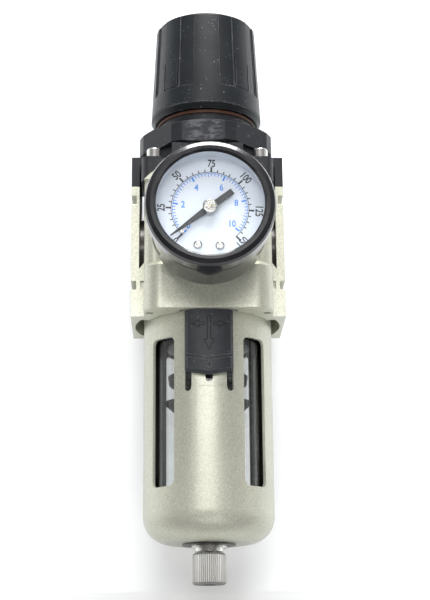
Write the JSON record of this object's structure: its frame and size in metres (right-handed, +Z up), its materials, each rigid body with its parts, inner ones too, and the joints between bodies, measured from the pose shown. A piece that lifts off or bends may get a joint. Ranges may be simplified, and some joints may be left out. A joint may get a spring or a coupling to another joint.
{
  "type": "filter regulator",
  "caption": "Modular compressed air filter regulator with adjusting knob, round pressure gauge, clear bowl in a windowed metal guard, slide lock and drain cock.",
  "frame": {"origin": "middle of the centreline between the two pipe ports", "axes": "+Z up along the knob and bowl axis, +X from inlet to outlet, -Y towards the gauge"},
  "size_m": [0.053, 0.0869, 0.202],
  "materials": {
    "champagne_paint": "fine metallic satin paint",
    "black_plastic": "satin",
    "knob_plastic": "fine matte grain",
    "orange_plastic": "satin",
    "grey_plastic": "satin",
    "clear_plastic": "clear polycarbonate, polished",
    "clear_glass": "polished",
    "dial_white": "satin white",
    "bezel_black": "semi-gloss black",
    "needle_black": "matte black",
    "case_black": "gloss black",
    "nickel": "nickel plated, turned",
    "screw_steel": "zinc plated",
    "spring_steel": "drawn wire",
    "dark_steel": "blackened",
    "zinc_plate": "zinc plated",
    "brass": "turned",
    "rubber": "matte",
    "filter_media": "sintered, porous"
  },
  "bodies": {
    "housing": {"body": "champagne_paint", "bonnet": "black_plastic", "bonnet_screws": "screw_steel", "ring_nut": "black_plastic", "indicator_ring": "orange_plastic", "diaphragm": "rubber", "valve_guide": "grey_plastic", "gauge_port_plug": "screw_steel", "deflector": "grey_plastic", "filter_element": "filter_media", "element_holder": "grey_plastic", "lower_baffle": "grey_plastic", "centre_bolt": "screw_steel", "bowl_seal": "rubber", "gauge_stem": "brass", "gauge_case": "case_black", "gauge_bezel": "bezel_black", "gauge_lens": "clear_glass", "gauge_dial": "dial_white", "dial_screws": "screw_steel", "stop_pin": "dark_steel", "gauge_movement": "brass", "bourdon_tube": "brass", "valve_spring": "spring_steel"},
    "adjuster": {"adjust_screw": "brass"},
    "grip": {"knob": "knob_plastic"},
    "seat": {"spring_seat": "brass"},
    "sensor": {"diaphragm_plate": "zinc_plate", "relief_seat": "brass", "main_spring": "spring_steel"},
    "valve": {"valve_stem": "brass", "valve_rubber": "rubber"},
    "pointer": {"needle": "needle_black", "needle_hub": "nickel"},
    "bowl_assembly": {"bowl": "clear_plastic", "bowl_guard": "champagne_paint", "lock_spring": "spring_steel", "drain_body": "nickel", "drain_seal": "rubber", "drain_washer": "dark_steel", "drain_nut": "nickel"},
    "lock": {"lock_button": "black_plastic"},
    "cock_stem": {"drain_stem": "nickel"},
    "cock": {"drain_knob": "nickel"}
  },
  "joints": [
    {"name": "knob_turn", "type": "hinge", "parent": "housing", "child": "adjuster", "pos_m": [0, 0, 0.068], "axis": [0, 0, 1], "range_deg": [-1800, 0]},
    {"name": "knob_lift", "type": "slide", "parent": "adjuster", "child": "grip", "axis": [0, 0, 1], "range_m": [0, 0.0025]},
    {"name": "seat_travel", "type": "slide", "parent": "housing", "child": "seat", "axis": [0, 0, 1], "range_m": [-0.0076, 0], "deforming": ["main_spring"]},
    {"name": "diaphragm_travel", "type": "slide", "parent": "housing", "child": "sensor", "axis": [0, 0, 1], "range_m": [-0.0012, 0], "stiffness_N_per_m": 2000, "deforming": ["diaphragm"]},
    {"name": "valve_travel", "type": "slide", "parent": "housing", "child": "valve", "axis": [0, 0, 1], "range_m": [-0.0013, 0.0001], "deforming": ["valve_spring"]},
    {"name": "needle_turn", "type": "hinge", "parent": "housing", "child": "pointer", "pos_m": [0, -0.056, -0.0017], "axis": [0, 1, 0], "range_deg": [0, 268], "stiffness_Nm_per_rad": 0.00001},
    {"name": "bowl_turn", "type": "hinge", "parent": "housing", "child": "bowl_assembly", "pos_m": [0, 0, -0.0217], "axis": [0, 0, 1], "range_deg": [-45, 45]},
    {"name": "lock_slide", "type": "slide", "parent": "bowl_assembly", "child": "lock", "axis": [0, 0, 1], "range_m": [-0.004, 0], "stiffness_N_per_m": 400, "deforming": ["lock_spring"]},
    {"name": "drain_travel", "type": "slide", "parent": "bowl_assembly", "child": "cock_stem", "axis": [0, 0, 1], "range_m": [-0.00125, 0.00005]},
    {"name": "drain_turn", "type": "hinge", "parent": "cock_stem", "child": "cock", "pos_m": [0, 0, -0.11], "axis": [0, 0, 1], "range_deg": [-540, 0]}
  ],
  "couplings": [
    {"joint": "seat_travel", "follows": "knob_turn", "m_per_rad": 0.00023873},
    {"joint": "valve_travel", "follows": "diaphragm_travel", "ratio": 1},
    {"joint": "drain_travel", "follows": "drain_turn", "m_per_rad": 0.00012732}
  ]
}
